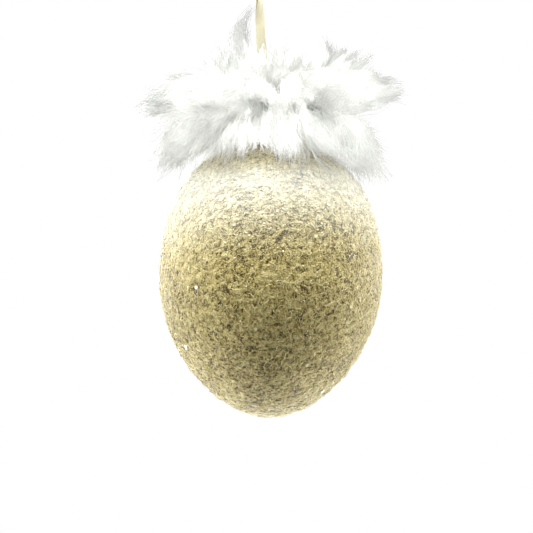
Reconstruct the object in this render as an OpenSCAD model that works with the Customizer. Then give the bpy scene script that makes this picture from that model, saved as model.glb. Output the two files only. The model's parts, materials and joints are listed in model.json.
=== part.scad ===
// Glass ball ornament: a blown glass ball under a felted coat of glass grains, with its crown cap and
// hanger wire, a collar of white down plumes round the neck, and the cream ribbon that it hangs from.
// Millimetres, +Z up. The origin is the inside top of the ribbon's loop, where a hook bears.
// The ball's own modules are drawn about the centre of its widest place and hung by hung().

/* [Ball] */
// Width of the ball over its coat, at its widest
ball_w = 76; // [60:1:110]
// Height of the shoulder's top above the widest place
ball_rise = 47.5; // [40:0.5:70]
// Depth of the bottom below the widest place
ball_drop = 48; // [40:0.5:70]
// How much fuller the shoulder is than an ellipse
shoulder_fullness = 0.15; // [0:0.01:0.2]
// How much slimmer the lower half is than an ellipse
lower_taper = 0.11; // [0:0.01:0.2]
// Thickness of the blown glass wall
glass_wall = 0.8; // [0.5:0.1:1.5]
// Thickness of the coat of grains and fibres
coat = 0.7; // [0.4:0.1:1.5]

/* [Neck and cap] */
// Outside width of the glass neck
neck_w = 11; // [9:0.5:14]
// Height of the neck above the shoulder
neck_h = 7.6; // [5:0.2:12]
// Thickness of the cap's sheet metal
cap_wall = 0.35; // [0.25:0.05:0.6]
// Width of the cap's skirt at its rim
skirt_w = 14.8; // [13.5:0.1:18]
// Number of notches in the skirt's rim
skirt_notches = 16; // [8:1:24]

/* [Hanger wire] */
// Diameter of the spring wire
wire_d = 0.8; // [0.6:0.1:1.2]
// Height of the eye's bar above the cap
eye_h = 11; // [8:0.5:16]
// Straight length of the eye's bar
bar_l = 4.6; // [4.2:0.1:6]
// Length of the legs below the neck's mouth
leg_l = 14; // [8:1:20]

/* [Ribbon] */
// Width of the ribbon
ribbon_w = 3.2; // [2:0.1:4]
// Thickness of the ribbon
ribbon_t = 0.3; // [0.2:0.05:0.4]
// Width of the knot above the eye
knot_w = 4.4; // [3.8:0.1:5]
// Height of the knot
knot_h = 3.6; // [3:0.1:3.8]
// Length of each tail of ribbon below the knot's side
tail_l = 5; // [3:0.5:6]

/* [Collar] */
// Diameter of the cord that the plumes are bound to
cord_d = 3.2; // [2:0.1:4]
// Diameter of a plume's quill
quill_d = 0.9; // [0.6:0.1:1.4]
// Diameter of the bead of glue under the cord
glue_d = 1.8; // [1:0.1:2.4]
// Gap between neighbouring plumes, as an angle
plume_gap = 2; // [1:0.5:6]

/* [Coat flakes] */
// Number of large flakes on the coat
flake_count = 36; // [8:1:60]
// Width of a flake across its corners
flake_w = 1.7; // [0.8:0.1:2.4]
// Thickness of a flake
flake_t = 0.12; // [0.08:0.02:0.3]

/* [Clearances] */
// Cap over neck, cap over shoulder, and slots round the wire
cap_clearance = 0.3; // [0.2:0.05:0.5]
// Wire legs in the neck's bore
leg_clearance = 0.15; // [0.1:0.05:0.3]
// Ribbon's loop round the wire
eye_clearance = 0.3; // [0.2:0.05:0.5]
// Quills of the lower plumes over the bead of glue
bead_clearance = 0.148; // [0.1:0.002:0.3]
// Film of glue between pieces that are stuck together
glue_film = 0.05; // [0.02:0.01:0.1]

/* [Hidden] */
UPPER = 8;
LOWER = 8;

// The ball's lean: its axis tips towards +X, because the wire's eye is bent that far to the other side
lean = 3.7;
// Steps in a half profile, and smoothness of a turned surface
profile_steps = 44;
wall_steps = profile_steps / 2;
turned_fn = 96;

// The ribbon's route from the knot, up its front leg, over the loop and down its back leg.
// Each row is x, y, z and the turn of the ribbon's width from +X.
ribbon_drop = 69;
ribbon_route = [
    [0, -0.45, -63.5, 0], [0, -0.7, -61, 0], [0, -0.8, -57, 0], [0, -0.8, -52, 0],
    [0, -0.6, -48, 4], [0.15, -0.3, -45, 25], [0.3, -0.2, -42, 50], [0.35, -0.1, -39, 68],
    [0.5, 0, -36, 80], [0.8, 0, -32, 86], [1.2, 0, -26, 90], [1.8, 0, -18, 90],
    [2.2, 0, -10, 90], [2.3, 0, -5, 90], [2, 0, -2, 90], [1.2, 0, -0.4, 90],
    [0, 0, 0.15, 90],
    [-1.2, 0, -0.4, 90], [-2, 0, -2, 90], [-2.3, 0, -5, 90], [-2.2, 0, -10, 90],
    [-1.8, 0, -18, 90], [-1.2, 0, -26, 90], [-0.8, 0, -32, 86], [-0.5, 0, -36, 80],
    [-0.35, 0.1, -39, 68], [-0.3, 0.2, -42, 50], [-0.15, 0.3, -45, 25], [0, 0.6, -48, 4],
    [0, 0.8, -52, 0], [0.3, 0.9, -57, 0], [0.3, 0.8, -61, 0], [0, 0.45, -63.5, 0]
];
// Rows at which the upper and lower stretches meet
front_split = 9;
back_split = 23;

// Plumes, counted from +X round by +Y. Heights are above the cord and reaches beyond the well.
// Upper plumes: reach and height of the tip, and how high the crest is pulled
upper_plumes = [
    [29.5, 16, 52], [29.5, 18, 53], [27.5, 15, 51], [29.5, 12, 49],
    [32.5, 10, 49], [28.5, 11, 49], [23.5, 12, 50], [27.5, 16, 52]
];
// Lower plumes, half a step round from the upper ones: reach and height of the tip
lower_plumes = [
    [25.5, -8], [24.5, -6], [24.5, -5], [26.5, -6],
    [26.5, -8], [22.5, -6], [22.5, -6], [24.5, -10]
];
upper_start = 60;
upper_belly = 12;
lower_crest = 16;
plume_steps = 10;
quill_sunk = 5;
root_gap = 0.1;
root_reach = 1.2;
coat_margin = 0.5;
cord_margin = 1.2;
notch_r = 0.5;

// ---- The ball's outline ----

function fullness(a) = a > 0 ? shoulder_fullness : -lower_taper;
function outline_r(a, inset) = (ball_w / 2 - inset) * cos(a) * (1 + fullness(a) * pow(sin(a), 2));
function outline_z(a, inset) = ((a > 0 ? ball_rise : ball_drop) - inset) * sin(a);
// The angle above the widest place at which the outline has narrowed to radius r, by halving
function angle_at(r, inset, low = 0, high = 90, halvings = 24) =
    let (middle = (low + high) / 2)
    halvings == 0 ? middle :
    outline_r(middle, inset) > r ? angle_at(r, inset, middle, high, halvings - 1) :
    angle_at(r, inset, low, middle, halvings - 1);
function shoulder_z(r, inset) = outline_z(angle_at(r, inset), inset);
// The outline from the bottom up to radius r on the shoulder
function outline(r, inset) =
    let (top = angle_at(r, inset))
    [for (i = [0 : profile_steps])
        let (a = -90 + (top + 90) * i / profile_steps)
        [i == 0 ? 0 : outline_r(a, inset), outline_z(a, inset)]];
// The part of the outline between two angles
function wall(first, last, inset) =
    [for (i = [0 : wall_steps])
        let (a = first + (last - first) * i / wall_steps)
        [a == -90 ? 0 : outline_r(a, inset), outline_z(a, inset)]];
function reversed(points) = [for (i = [len(points) - 1 : -1 : 0]) points[i]];

// ---- Sizes that follow from the others ----

glass_inset = coat + glue_film;
bore_inset = glass_inset + glass_wall;
neck_r = neck_w / 2;
bore_r = neck_r - glass_wall;
neck_foot = shoulder_z(neck_r, glass_inset);
neck_top = neck_foot + neck_h;
skirt_r = skirt_w / 2;
skirt_z = shoulder_z(skirt_r - cap_wall, glass_inset) + cap_clearance;
crown_z = neck_top + cap_clearance;
cap_top = crown_z + cap_wall;
coat_hole_r = skirt_r + coat_margin;
cord_ring_r = skirt_r + cord_margin + cord_d / 2;
shoulder_slope = atan(shoulder_z(cord_ring_r - 0.5, 0) - shoulder_z(cord_ring_r + 0.5, 0));
cord_z = shoulder_z(cord_ring_r, 0) + (cord_d / 2 + glue_film) / cos(shoulder_slope);
glue_reach = (cord_d + glue_d) / 2 + glue_film;
glue_turn = shoulder_slope + asin((cord_d - glue_d) / 2 / glue_reach);
glue_ring_r = cord_ring_r + glue_reach * cos(glue_turn);
glue_z = cord_z - glue_reach * sin(glue_turn);
lower_start = asin((glue_d / 2 + quill_d / 2 + bead_clearance) / glue_reach) - glue_turn;
well_r = cord_ring_r + 0.4;
leg_x = bore_r - leg_clearance - wire_d / 2;
slot_x = 2.2;
slot_w = wire_d + 2 * cap_clearance;

// The eye's bar, in the ball's own frame: on the line that hangs plumb through the ball's centre
eye_z = cap_top + eye_h;
eye_x = -eye_z * tan(lean);
eye_reach = norm([eye_x, eye_z]);
level = [cos(lean), sin(lean)];
plumb = [-sin(lean), cos(lean)];

module hung() {
    translate([0, 0, -ribbon_drop - eye_reach])
        rotate([0, lean, 0])
            children();
}

// ---- Swept shapes ----

function unit(v) = v / norm(v);
function place(row) = [row[0], row[1], row[2]];
function heading(route, i) =
    unit(place(route[min(i + 1, len(route) - 1)]) - place(route[max(i - 1, 0)]));

// A closed skin over rings of points
module skin(rings) {
    sides = len(rings[0]);
    last = len(rings) - 1;
    polyhedron(
        points = [for (ring = rings) each ring],
        faces = concat(
            [[for (k = [0 : sides - 1]) k]],
            [for (i = [0 : last - 1], k = [0 : sides - 1])
                let (a = i * sides + k, b = i * sides + (k + 1) % sides)
                each [[a, a + sides, b + sides], [a, b + sides, b]]],
            [[for (k = [sides - 1 : -1 : 0]) last * sides + k]]
        )
    );
}

// ---- Ribbon ----

// The ribbon's section, a little thinner towards its woven edges
function ribbon_corner(across, up) = [ribbon_w / 2 * across, ribbon_t / 2 * up];
ribbon_section = [
    ribbon_corner(1, 0), ribbon_corner(0.85, 0.75), ribbon_corner(0, 1), ribbon_corner(-0.85, 0.75),
    ribbon_corner(-1, 0), ribbon_corner(-0.85, -0.75), ribbon_corner(0, -1), ribbon_corner(0.85, -0.75)
];

function ribbon_ring(i) =
    let (row = ribbon_route[i], wide = [cos(row[3]), sin(row[3]), 0])
    let (thick = unit(cross(heading(ribbon_route, i), wide)))
    [for (s = ribbon_section) place(row) + wide * s[0] + thick * s[1]];

module ribbon_stretch(first, last) {
    skin([for (i = [first : last]) ribbon_ring(i)]);
}

module ribbon_upper() {
    color("oldlace") ribbon_stretch(front_split, back_split);
}

module ribbon_lower() {
    color("oldlace") {
        ribbon_stretch(0, front_split);
        ribbon_stretch(back_split, len(ribbon_route) - 1);
    }
}

// A knot that closes into a small loop round the eye's bar, with two tails
module ribbon_knot() {
    loop_r = wire_d / 2 + eye_clearance;
    foot_z = loop_r + ribbon_t + 0.4;
    top_z = ribbon_drop + ribbon_route[0][2] - glue_film;
    knot_z = top_z - knot_h;
    color("oldlace")
        translate([0, 0, -ribbon_drop]) {
            difference() {
                union() {
                    rotate([0, 90, 0])
                        cylinder(r = loop_r + ribbon_t, h = ribbon_w, center = true, $fn = 48);
                    translate([-ribbon_w / 2, -loop_r - ribbon_t, 0])
                        cube([ribbon_w, 2 * (loop_r + ribbon_t), max(foot_z, knot_z + 0.6)]);
                }
                rotate([0, 90, 0])
                    cylinder(r = loop_r, h = ribbon_w + 1, center = true, $fn = 48);
            }
            translate([0, 0, knot_z])
                rotate_extrude($fn = 48)
                    polygon(concat(
                        [[0, 0]],
                        [for (a = [0 : 15 : 180])
                            [knot_w / 2 * (0.62 + 0.38 * sin(a)), knot_h / 2 * (1 - cos(a))]],
                        [[0, knot_h]]
                    ));
            for (side = [-1, 1])
                translate([side * knot_w / 4, 0, knot_z + knot_h / 2])
                    rotate([0, side * 12, 0])
                        translate([side * tail_l / 2, 0, 0])
                            cube([tail_l, ribbon_w, ribbon_t], center = true);
        }
}

// ---- Cap and hanger wire ----

module crown_cap() {
    inner_r = neck_r + cap_clearance;
    outer_r = inner_r + cap_wall;
    flare = skirt_r - outer_r;
    flute_z = skirt_z + 2;
    color("goldenrod")
        hung()
            difference() {
                rotate_extrude($fn = turned_fn)
                    polygon([
                        [0, crown_z], [inner_r, crown_z], [inner_r, flute_z + 1.2],
                        [inner_r + 0.32 * flare, flute_z], [skirt_r - cap_wall, skirt_z], [skirt_r, skirt_z],
                        [outer_r + 0.4 * flare, flute_z], [outer_r, flute_z + 1.3], [outer_r, cap_top - 0.4],
                        [outer_r - 0.4, cap_top], [0, cap_top]
                    ]);
                for (side = [-1, 1])
                    translate([side * slot_x, 0, cap_top])
                        cube([slot_w, slot_w, 4 * cap_wall], center = true);
                for (i = [0 : skirt_notches - 1])
                    rotate([0, 0, 360 * i / skirt_notches])
                        translate([skirt_r, 0, skirt_z])
                            rotate([0, 90, 0])
                                cylinder(r = notch_r, h = 4, center = true, $fn = 24);
            }
}

// One pass of corner cutting, which keeps both ends
function rounded(points) = concat(
    [points[0]],
    [for (i = [0 : len(points) - 2])
        each [points[i] * 0.75 + points[i + 1] * 0.25, points[i] * 0.25 + points[i + 1] * 0.75]],
    [points[len(points) - 1]]
);

module hanger_wire() {
    bar = [eye_x, eye_z];
    leg_foot = neck_top - leg_l;
    half_wire = [
        [leg_x, leg_foot], [leg_x, leg_foot + 1], [leg_x, neck_top - 5], [leg_x, neck_top - 3.5],
        [slot_x, crown_z - 1.2], [slot_x, crown_z - 0.6], [slot_x, cap_top + 0.6]
    ];
    corners = concat(
        [for (p = half_wire) [-p[0], p[1]]],
        [bar - level * (bar_l / 2 + 0.7) - plumb * 1.2, bar - level * (bar_l / 2 + 0.3) - plumb * 0.2],
        [bar - level * bar_l / 2, bar + level * bar_l / 2],
        [bar + level * (bar_l / 2 + 0.3) - plumb * 0.2, bar + level * (bar_l / 2 + 0.7) - plumb * 1.2],
        reversed(half_wire)
    );
    path = [for (p = rounded(rounded(corners))) [p[0], 0, p[1]]];
    sides = 8;
    color("silver")
        hung()
            skin([for (i = [0 : len(path) - 1])
                let (across = cross(heading(path, i), [0, 1, 0]))
                [for (k = [0 : sides - 1])
                    let (a = 360 * k / sides)
                    path[i] + wire_d / 2 * (cos(a) * [0, 1, 0] + sin(a) * across)]]);
}

// ---- Glass, coat and flakes ----

// The blown glass is one piece. It is drawn as a bowl, a dome and a neck that meet face to face.
module glass_bowl() {
    color("khaki")
        hung()
            rotate_extrude($fn = turned_fn)
                polygon(concat(wall(-90, 0, glass_inset), reversed(wall(-90, 0, bore_inset))));
}

module glass_dome() {
    color("darkkhaki")
        hung()
            rotate_extrude($fn = turned_fn)
                polygon(concat(
                    wall(0, angle_at(neck_r, glass_inset), glass_inset),
                    [[bore_r, neck_foot]],
                    reversed(wall(0, angle_at(bore_r, bore_inset), bore_inset))
                ));
}

module neck_tube() {
    color("palegoldenrod")
        hung()
            rotate_extrude($fn = turned_fn)
                polygon([
                    [bore_r, neck_foot], [neck_r, neck_foot],
                    [neck_r, neck_top], [bore_r, neck_top]
                ]);
}

module glitter_coat() {
    color("darkkhaki")
        hung()
            rotate_extrude($fn = turned_fn)
                polygon(concat(outline(coat_hole_r, 0), reversed(outline(coat_hole_r, coat))));
}

// Flat six-sided flakes that lie on the coat, spread by the golden angle
module coat_flakes() {
    lowest = -70;
    highest = 45;
    golden = 137.508;
    color("ivory")
        hung()
            for (i = [0 : flake_count - 1]) {
                a = lowest + (highest - lowest) * (i + 0.5) / flake_count;
                slope = atan2(
                    outline_r(a - 1, 0) - outline_r(a + 1, 0),
                    outline_z(a + 1, 0) - outline_z(a - 1, 0)
                );
                rotate([0, 0, golden * i])
                    translate([outline_r(a, 0), 0, outline_z(a, 0)])
                        rotate([0, 90 - slope, 0])
                            translate([0, 0, glue_film])
                                cylinder(d = flake_w, h = flake_t, $fn = 6);
            }
}

// ---- Collar ----

module glue_bead() {
    color("lightyellow")
        hung()
            rotate_extrude($fn = turned_fn)
                translate([glue_ring_r, glue_z])
                    circle(d = glue_d, $fn = 32);
}

module plume_cord() {
    color("linen")
        hung()
            rotate_extrude($fn = turned_fn)
                translate([cord_ring_r, cord_z])
                    circle(d = cord_d, $fn = 32);
}

// The curve from a plume's root to its tip that bends towards the point lift
function arch(root, lift, tip) =
    [for (i = [1 : plume_steps - 1])
        let (s = i / plume_steps)
        root * pow(1 - s, 2) + lift * 2 * s * (1 - s) + tip * pow(s, 2)];

// A plume: its quill, which starts at the cord, and its down as one closed soft solid
module plume(turn, span, start, crest, belly, tip) {
    out = [cos(start), sin(start)];
    seat = [cord_ring_r, cord_z] + out * (cord_d / 2 + glue_film + root_gap);
    root = seat + out * root_reach;
    hung()
        rotate([0, 0, turn]) {
            rotate_extrude(angle = span, start = -span / 2, $fn = turned_fn)
                polygon(concat(
                    [root], arch(root, crest, tip), [tip], reversed(arch(root, belly, tip))
                ));
            translate([seat[0], 0, seat[1]])
                rotate([0, 90 - start, 0])
                    cylinder(d = quill_d, h = quill_sunk, $fn = 24);
        }
}

module upper_plume(i) {
    size = upper_plumes[i - 1];
    color("white")
        plume(
            turn = 360 / UPPER * (i - 1), span = 360 / UPPER - plume_gap, start = upper_start,
            crest = [well_r, cord_z + size[2]], belly = [well_r + 19, cord_z + upper_belly],
            tip = [well_r + size[0], cord_z + size[1]]
        );
}

module lower_plume(i) {
    size = lower_plumes[i - 1];
    color("whitesmoke")
        plume(
            turn = 360 / LOWER * (i - 0.5), span = 360 / LOWER - plume_gap, start = lower_start,
            crest = [well_r + 21, cord_z + lower_crest], belly = [well_r + 13, cord_z + 2],
            tip = [well_r + size[0], cord_z + size[1]]
        );
}

ribbon_upper();
ribbon_lower();
ribbon_knot();
crown_cap();
hanger_wire();
glass_bowl();
glass_dome();
neck_tube();
glitter_coat();
coat_flakes();
glue_bead();
plume_cord();
for (i = [1 : UPPER]) upper_plume(i);
for (i = [1 : LOWER]) lower_plume(i);
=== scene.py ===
"""Glass ball ornament: an egg-shaped glass ball under a felted coat of crushed glass, with a collar of
white marabou down and a narrow cream ribbon."""
import json
import math
import bmesh
import bpy
import numpy as np
from mathutils import Matrix, Vector, noise


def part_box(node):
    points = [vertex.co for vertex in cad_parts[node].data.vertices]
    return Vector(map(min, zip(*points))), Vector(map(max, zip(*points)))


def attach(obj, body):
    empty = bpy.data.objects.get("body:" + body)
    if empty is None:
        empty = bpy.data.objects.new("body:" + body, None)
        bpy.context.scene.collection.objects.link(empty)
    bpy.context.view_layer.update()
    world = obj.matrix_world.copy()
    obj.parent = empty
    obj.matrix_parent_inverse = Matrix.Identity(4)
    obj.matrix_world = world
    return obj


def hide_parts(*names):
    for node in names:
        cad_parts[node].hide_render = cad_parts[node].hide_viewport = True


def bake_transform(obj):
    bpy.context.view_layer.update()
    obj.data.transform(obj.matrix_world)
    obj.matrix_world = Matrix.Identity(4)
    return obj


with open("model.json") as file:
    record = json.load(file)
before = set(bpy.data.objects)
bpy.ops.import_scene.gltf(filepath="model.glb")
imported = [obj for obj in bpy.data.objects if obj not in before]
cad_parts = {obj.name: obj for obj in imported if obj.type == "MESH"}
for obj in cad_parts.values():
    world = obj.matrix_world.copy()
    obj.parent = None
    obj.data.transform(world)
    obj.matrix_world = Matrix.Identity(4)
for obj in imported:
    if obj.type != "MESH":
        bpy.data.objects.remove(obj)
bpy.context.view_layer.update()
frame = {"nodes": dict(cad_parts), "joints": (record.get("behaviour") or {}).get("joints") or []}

bl_info = {
    "name": "Glass Ball Ornament",
    "version": (1, 0, 0),
    "blender": (4, 5, 0),
    "location": "View3D > Sidebar > Ornament",
    "description": "Builds a felted glass ball with its down collar and ribbon over its CAD frame",
    "category": "Add Mesh",
}

MM = 0.001


# ---- The ball's own frame ----

BALL_RISE = 47.5 * MM
BALL_DROP = 48 * MM
BALL_R = 38 * MM
COAT = 0.7 * MM
SHOULDER_FULLNESS = 0.15
LOWER_TAPER = 0.11


def outline(angle, inset=0.0):
    """Radius and height of the coat's outside at an angle above the widest place."""
    full = SHOULDER_FULLNESS if angle > 0 else -LOWER_TAPER
    height = (BALL_RISE if angle > 0 else BALL_DROP) - inset
    r = (BALL_R - inset) * math.cos(angle) * (1 + full * math.sin(angle) ** 2)
    return r, height * math.sin(angle)


def angle_at(radius):
    """The angle on the shoulder at which the outline has narrowed to a radius."""
    low, high = 0.0, math.pi / 2
    for _ in range(40):
        middle = (low + high) / 2
        low, high = (middle, high) if outline(middle)[0] > radius else (low, middle)
    return low


_pull = next(joint["axis"] for joint in frame["joints"] if joint["name"] == "cap_pull")
LEAN = math.atan2(-_pull[0], -_pull[2])
_cord_low, _cord_high = (Vector(c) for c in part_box("plume_cord"))
_coat_low = Vector(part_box("glitter_coat")[0])
_reach = max(
    r * math.sin(LEAN) - z * math.cos(LEAN)
    for r, z in (outline(math.radians(a / 4)) for a in range(-360, 0))
)
CENTRE = Vector((0, 0, _coat_low.z + _reach))
HUNG = Matrix.Translation(CENTRE) @ Matrix.Rotation(LEAN, 4, "Y")
CORD_R = 1.6 * MM
CORD_RING = (_cord_high.y - _cord_low.y) / 2 - CORD_R
CORD_Z = (HUNG.inverted() @ ((_cord_low + _cord_high) / 2)).z
WELL = CORD_RING + 0.4 * MM
COAT_HOLE = 7.9 * MM

# Plumes, in mm from the well and the cord: reach and height of the tip, and lift of the crest
UPPER_PLUMES = (
    (29.5, 16, 52), (29.5, 18, 53), (27.5, 15, 51), (29.5, 12, 49),
    (32.5, 10, 49), (28.5, 11, 49), (23.5, 12, 50), (27.5, 16, 52),
)
LOWER_PLUMES = (
    (25.5, -8), (24.5, -6), (24.5, -5), (26.5, -6),
    (26.5, -8), (22.5, -6), (22.5, -6), (24.5, -10),
)

# Locks that shape the collar's edge: how far right, up and near of the centre each ends, in mm, and its share of
# a lock's barbs
EDGE_LOCKS = {
    ("upper", 6): ((-7.6, 91, 6, 1.6), (-9, 86, 4, 1.6), (-8, 82, 6, 2.0), (-12, 79, 7, 2.2), (-18.5, 77, 9, 3.0)),
    ("upper", 7): ((4, 77, 10, 1.1), (-5, 73, 12, 1.2), (9, 75, 9, 0.9)),
    ("upper", 8): ((20, 79, 9, 2.2), (25, 78.5, 8, 2.4), (32, 75, 4, 2.0)),
    ("upper", 1): ((36.5, 69.6, 0, 2.0), (41.5, 64, 0, 2.2), (38, 62, 2, 1.6)),
    ("upper", 5): ((-41.5, 58.2, 0, 2.2), (-37, 62, 2, 2.0), (-31, 67, 0, 1.6)),
    ("lower", 5): ((-34, 41.5, 2, 1.0), (-33, 47, 4, 0.8)),
    ("lower", 8): ((33, 47, 6, 0.9), (32, 42, 8, 0.7), (31, 34, 10, 0.35)),
    ("lower", 7): ((12, 36, 33, 0.5), (20, 33, 30, 0.3), (4, 40, 34, 0.8)),
    ("lower", 6): ((-18, 29, 30, 0.16), (-14, 41, 30, 0.8), (-22, 40, 24, 0.7)),
}

# The ribbon's route, in mm: x, y, z and the turn of its width from +X
RIBBON_ROUTE = (
    (0, -0.45, -63.5, 0), (0, -0.7, -61, 0), (0, -0.8, -57, 0), (0, -0.8, -52, 0), (0, -0.6, -48, 4),
    (0.15, -0.3, -45, 25), (0.3, -0.2, -42, 50), (0.35, -0.1, -39, 68), (0.5, 0, -36, 80),
    (0.8, 0, -32, 86), (1.2, 0, -26, 90), (1.8, 0, -18, 90), (2.2, 0, -10, 90), (2.3, 0, -5, 90),
    (2, 0, -2, 90), (1.2, 0, -0.4, 90), (0, 0, 0.15, 90), (-1.2, 0, -0.4, 90), (-2, 0, -2, 90),
    (-2.3, 0, -5, 90), (-2.2, 0, -10, 90), (-1.8, 0, -18, 90), (-1.2, 0, -26, 90), (-0.8, 0, -32, 86),
    (-0.5, 0, -36, 80), (-0.35, 0.1, -39, 68), (-0.3, 0.2, -42, 50), (-0.15, 0.3, -45, 25),
    (0, 0.6, -48, 4), (0, 0.8, -52, 0), (0.3, 0.9, -57, 0), (0.3, 0.8, -61, 0), (0, 0.45, -63.5, 0),
)
EYE_Z = -69 * MM

# Heights above the centre between which the coat is painted paler and whiter as painted top light, and between
# which painted shade under the collar dulls it again
PAINTED_LIGHT_RISE = (2 * MM, 37 * MM)
PAINTED_COLLAR_SHADE = (33 * MM, 41 * MM)
# The coat is smooth this far below its edge at the neck, and in a ring inside this radius by its lowest place
RIM_MARGIN = 0.4 * MM
POLE_R = 6 * MM
# The highest place with grains and fibres
GRAIN_TOP = math.radians(68)
# A fibre's pattern is this many times its thickness long
CURL_LENGTH = 40
FLAKES = 36
# Down lies this far off the coat, and keeps this radius free round the cap
DOWN_LIFT = 0.6 * MM
WELL_R = 8.4 * MM

# The view, rolled a little about its own axis
ROLL = math.radians(2.4)
RIGHT = Vector((math.cos(ROLL), 0, -math.sin(ROLL)))
UP = Vector((math.sin(ROLL), 0, math.cos(ROLL)))
NEARER = Vector((0, -1, 0))
VIEW_DISTANCE = 0.65
VIEW_WIDTH = 0.1836
SENSOR = 36
FLOOR_DROP = 0.90


# ---- Sizes and colours that a user would change ----

def shade(r, g, b):
    """A colour given in screen values from 0 to 255, made linear."""
    return tuple(c / 12.92 if c <= 0.04045 else ((c + 0.055) / 1.055) ** 2.4
                 for c in (r / 255, g / 255, b / 255))


def tint(name, description, rgb):
    return bpy.props.FloatVectorProperty(
        name=name, description=description, subtype="COLOR", size=3, min=0, max=1, default=shade(*rgb))


def length(name, description, mm, low, high):
    return bpy.props.FloatProperty(
        name=name, description=description, unit="LENGTH", default=mm * MM, min=low * MM, max=high * MM,
        precision=5)


def amount(name, description, default, low, high):
    return bpy.props.IntProperty(name=name, description=description, default=default, min=low, max=high)


def number(name, description, value, high, **more):
    return bpy.props.FloatProperty(name=name, description=description, default=value, min=0, max=high, **more)


class CoatSettings(bpy.types.PropertyGroup):
    lump: length("Lump height", "Height of the coat's felted lumps", 0.42, 0, 1)
    grain_size: length("Grain size", "Width of a usual crushed glass grain", 0.62, 0.3, 1)
    grains: amount("Grains", "Glass grains stuck on the coat", 9500, 0, 16000)
    fibres: amount("Fibres", "Short curled fibres in the felt", 4600, 0, 5000)
    pale: tint("Pale grit", "Colour of the coat's raised grit", (234, 226, 188))
    body: tint("Felt", "Colour of the coat's body", (196, 181, 122))
    pit: tint("Pits", "Colour down in the coat's pits", (78, 64, 18))


class CollarSettings(bpy.types.PropertyGroup):
    locks: amount("Locks", "Locks of down on one plume", 52, 4, 90)
    barbs: amount("Barbs", "Barbs in one lock", 50, 4, 120)
    barb_d: length("Barb thickness", "Thickness of a barb at its root", 0.24, 0.05, 0.4)
    shady: number("Shady share", "Share of the barbs that cast a shade", 0.08, 1, subtype="FACTOR")
    down: tint("Down", "Colour of the down", (217, 218, 214))


class RibbonSettings(bpy.types.PropertyGroup):
    width: length("Width", "Width of the ribbon", 3.2, 2, 4)
    thickness: length("Thickness", "Thickness of the ribbon", 0.3, 0.1, 0.4)
    satin: tint("Satin", "Colour of the ribbon", (217, 212, 184))


MOST_WATTS = 400


class LightSettings(bpy.types.PropertyGroup):
    surround: number("Surround", "Light from all round", 0.04, 2)
    front: number("Front", "Watts of the large light high before the ball", 110, MOST_WATTS)
    left: number("Left", "Watts of the left side light", 17, MOST_WATTS)
    right: number("Right", "Watts of the right side light", 10, MOST_WATTS)
    rims: number("Rims", "Watts of each low side light that brightens the ball's edges", 26, MOST_WATTS)
    back: number("Back", "Watts of each low light behind the ball", 24, MOST_WATTS)


# ---- Material maths ----

class Wire:
    """A number that flows between nodes, and can be worked with like any number."""

    def __init__(self, paint, socket):
        self.paint = paint
        self.socket = socket

    def maths(self, operation, *values, clamp=False):
        return self.paint.node("ShaderNodeMath", {"operation": operation, "use_clamp": clamp}, *values)

    def __add__(self, other): return self.maths("ADD", self, other)
    def __radd__(self, other): return self.maths("ADD", other, self)
    def __sub__(self, other): return self.maths("SUBTRACT", self, other)
    def __rsub__(self, other): return self.maths("SUBTRACT", other, self)
    def __mul__(self, other): return self.maths("MULTIPLY", self, other)
    def __rmul__(self, other): return self.maths("MULTIPLY", other, self)
    def __pow__(self, other): return self.maths("POWER", self, other)
    def clamp(self): return self.maths("ADD", self, 0.0, clamp=True)
    def sine(self): return self.maths("SINE", self)

    def between(self, low, high):
        """0 below low, 1 above high, and smooth from one to the other."""
        return self.paint.node("ShaderNodeMapRange", {"interpolation_type": "SMOOTHSTEP"},
                               self, low, high, 0.0, 1.0)


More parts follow.
